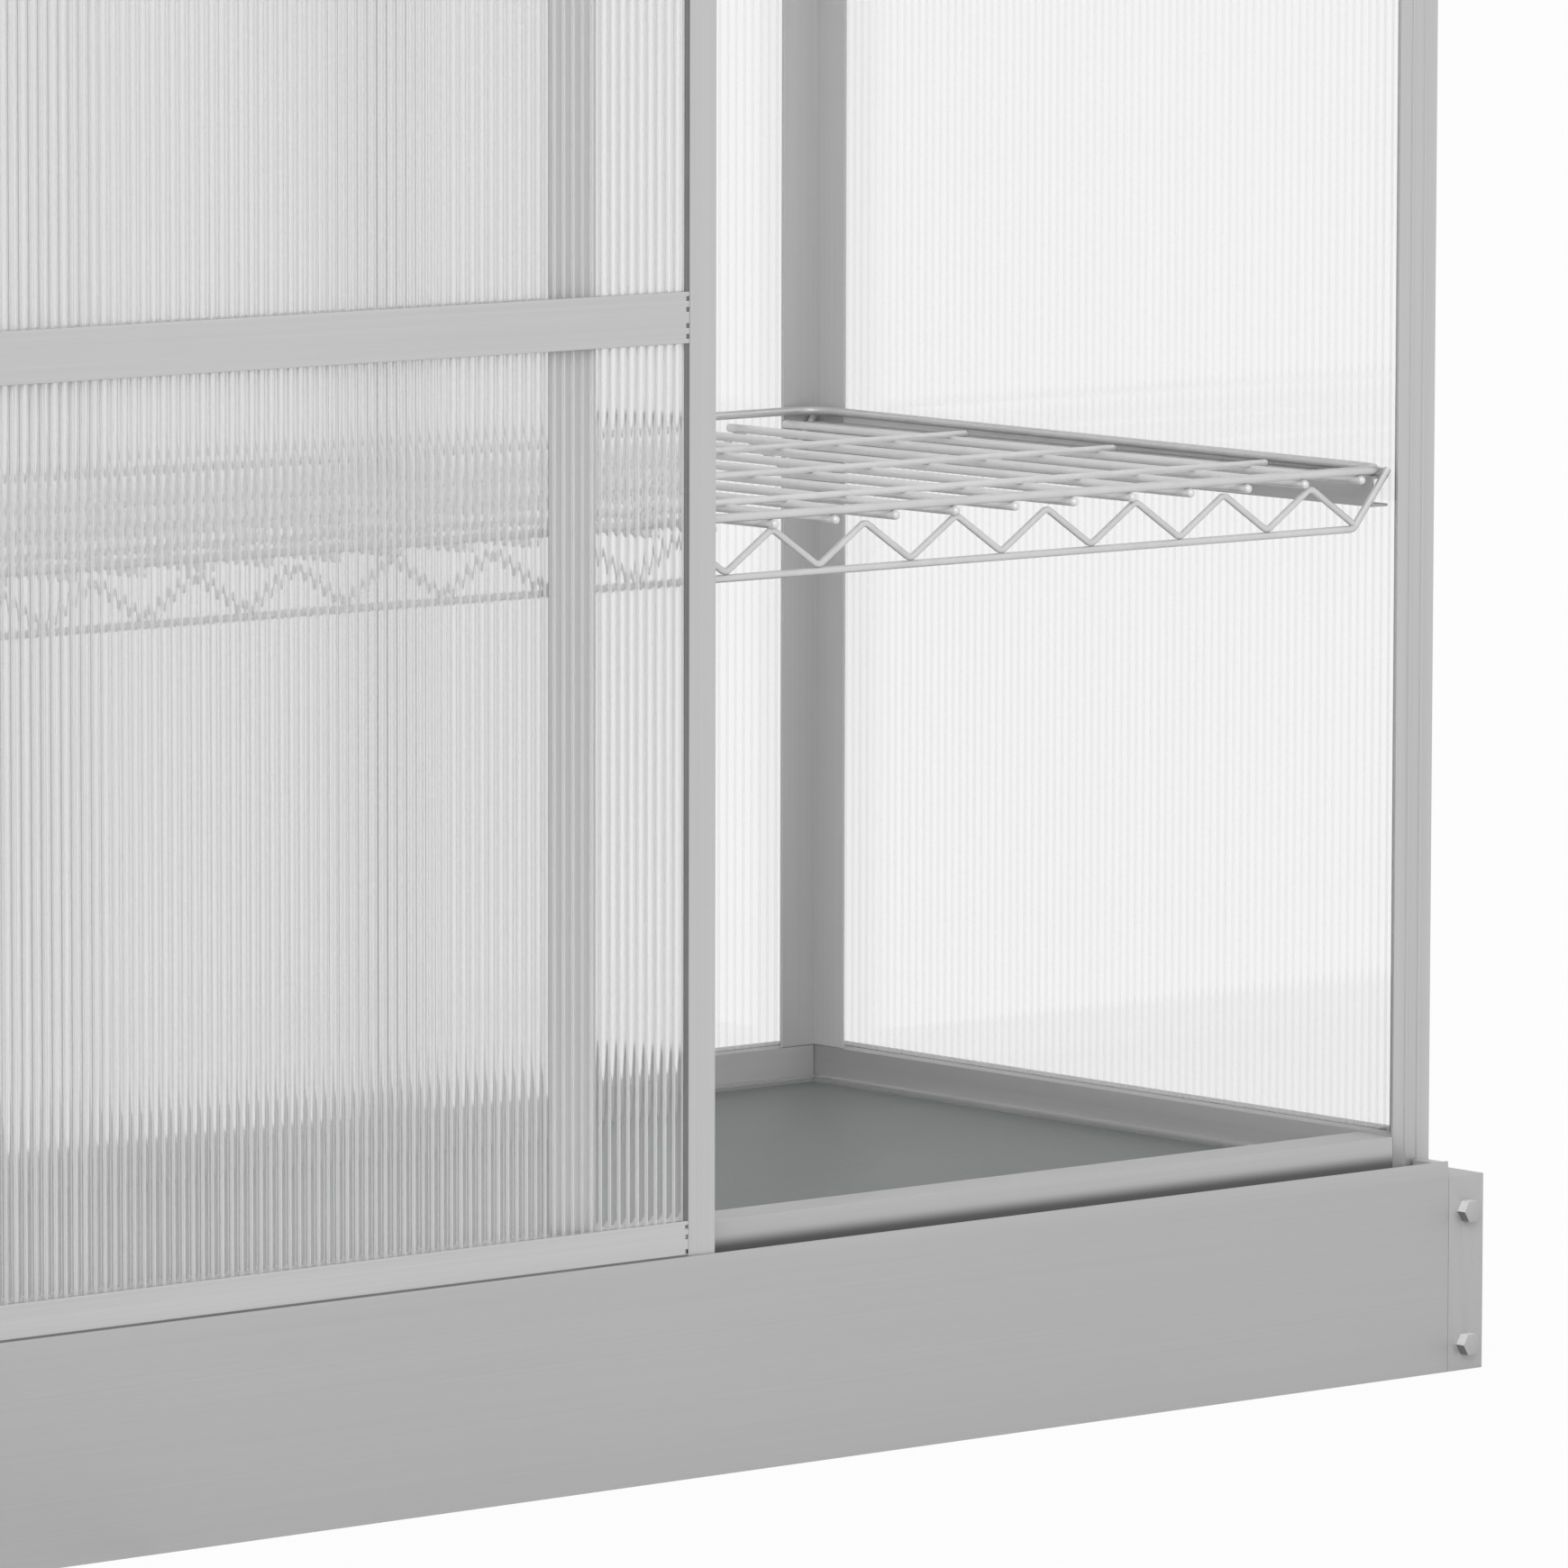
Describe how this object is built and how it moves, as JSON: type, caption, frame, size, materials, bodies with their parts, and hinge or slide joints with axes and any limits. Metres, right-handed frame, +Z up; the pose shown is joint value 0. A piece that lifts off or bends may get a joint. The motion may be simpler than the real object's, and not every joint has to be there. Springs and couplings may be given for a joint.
{
  "type": "cabinet greenhouse",
  "caption": "Tall lean-to cabinet greenhouse of twin-wall sheets in an aluminium frame on a steel plinth, with sliding front doors and wire shelves.",
  "frame": {"origin": "on the ground, under the middle of the greenhouse's overall box", "axes": "+Z up, +X to the right seen from the doors, +Y from the doors at the front towards the back"},
  "size_m": [1.32, 0.611, 2.19],
  "materials": {
    "aluminium": "mill finish, satin",
    "plinth_steel": "plain grey, low gloss",
    "zinc_wire": "bright zinc plated",
    "twin_wall": "clear, ribbed inside",
    "floor_sheet": "matte grey-green",
    "nylon": "matte dark grey"
  },
  "bodies": {
    "cabinet": {"back_bar": "aluminium", "back_panel_left": "twin_wall", "back_panel_right": "twin_wall", "corner_bracket_back_left": "plinth_steel", "corner_bracket_back_right": "plinth_steel", "corner_bracket_front_left": "plinth_steel", "corner_bracket_front_right": "plinth_steel", "floor_panel": "floor_sheet", "header_back": "aluminium", "header_front": "aluminium", "plinth_back": "plinth_steel", "plinth_front": "plinth_steel", "plinth_left": "plinth_steel", "plinth_right": "plinth_steel", "post_back_left": "aluminium", "post_back_right": "aluminium", "post_front_left": "aluminium", "post_front_right": "aluminium", "roof_bar": "aluminium", "roof_panel": "twin_wall", "shelf_lower": "zinc_wire", "shelf_middle": "zinc_wire", "shelf_upper": "zinc_wire", "shelf_rail_lower_left": "aluminium", "shelf_rail_lower_right": "aluminium", "shelf_rail_middle_left": "aluminium", "shelf_rail_middle_right": "aluminium", "shelf_rail_upper_left": "aluminium", "shelf_rail_upper_right": "aluminium", "side_panel_left": "twin_wall", "side_panel_right": "twin_wall", "sill_back": "aluminium", "sill_front": "aluminium", "sill_left": "aluminium", "sill_right": "aluminium", "top_rail_left": "aluminium", "top_rail_right": "aluminium"},
    "door_left": {"door_left_crossbar_1": "aluminium", "door_left_crossbar_2": "aluminium", "door_left_crossbar_3": "aluminium", "door_left_panel": "twin_wall", "door_left_rail_bottom": "aluminium", "door_left_rail_top": "aluminium", "door_left_stile_meeting": "aluminium", "door_left_stile_outer": "aluminium", "door_left_cup_pull": "nylon"},
    "wheel_left_1": {"door_left_wheel_1": "nylon"},
    "wheel_left_2": {"door_left_wheel_2": "nylon"},
    "door_right": {"door_right_crossbar_1": "aluminium", "door_right_crossbar_2": "aluminium", "door_right_crossbar_3": "aluminium", "door_right_panel": "twin_wall", "door_right_rail_bottom": "aluminium", "door_right_rail_top": "aluminium", "door_right_stile_meeting": "aluminium", "door_right_stile_outer": "aluminium", "door_right_grip": "zinc_wire"},
    "wheel_right_1": {"door_right_wheel_1": "nylon"},
    "wheel_right_2": {"door_right_wheel_2": "nylon"}
  },
  "joints": [
    {"name": "door_left_slide", "type": "slide", "parent": "cabinet", "child": "door_left", "axis": [1, 0, 0], "range_m": [0, 0.606]},
    {"name": "door_right_slide", "type": "slide", "parent": "cabinet", "child": "door_right", "axis": [1, 0, 0], "range_m": [-0.077, 0.529]},
    {"name": "wheel_left_1_roll", "type": "hinge", "parent": "door_left", "child": "wheel_left_1", "pos_m": [-0.53, -0.2725, 0.1243], "axis": [0, 1, 0], "range_deg": [0, 4965]},
    {"name": "wheel_left_2_roll", "type": "hinge", "parent": "door_left", "child": "wheel_left_2", "pos_m": [-0.076, -0.2725, 0.1243], "axis": [0, 1, 0], "range_deg": [0, 4965]},
    {"name": "wheel_right_1_roll", "type": "hinge", "parent": "door_right", "child": "wheel_right_1", "pos_m": [-0.453, -0.2815, 0.1243], "axis": [0, 1, 0], "range_deg": [-635, 4335]},
    {"name": "wheel_right_2_roll", "type": "hinge", "parent": "door_right", "child": "wheel_right_2", "pos_m": [0.001, -0.2815, 0.1243], "axis": [0, 1, 0], "range_deg": [-635, 4335]}
  ],
  "couplings": [
    {"joint": "wheel_left_1_roll", "follows": "door_left_slide", "rad_per_m": 142.86},
    {"joint": "wheel_left_2_roll", "follows": "door_left_slide", "rad_per_m": 142.86},
    {"joint": "wheel_right_1_roll", "follows": "door_right_slide", "rad_per_m": 142.86},
    {"joint": "wheel_right_2_roll", "follows": "door_right_slide", "rad_per_m": 142.86}
  ]
}
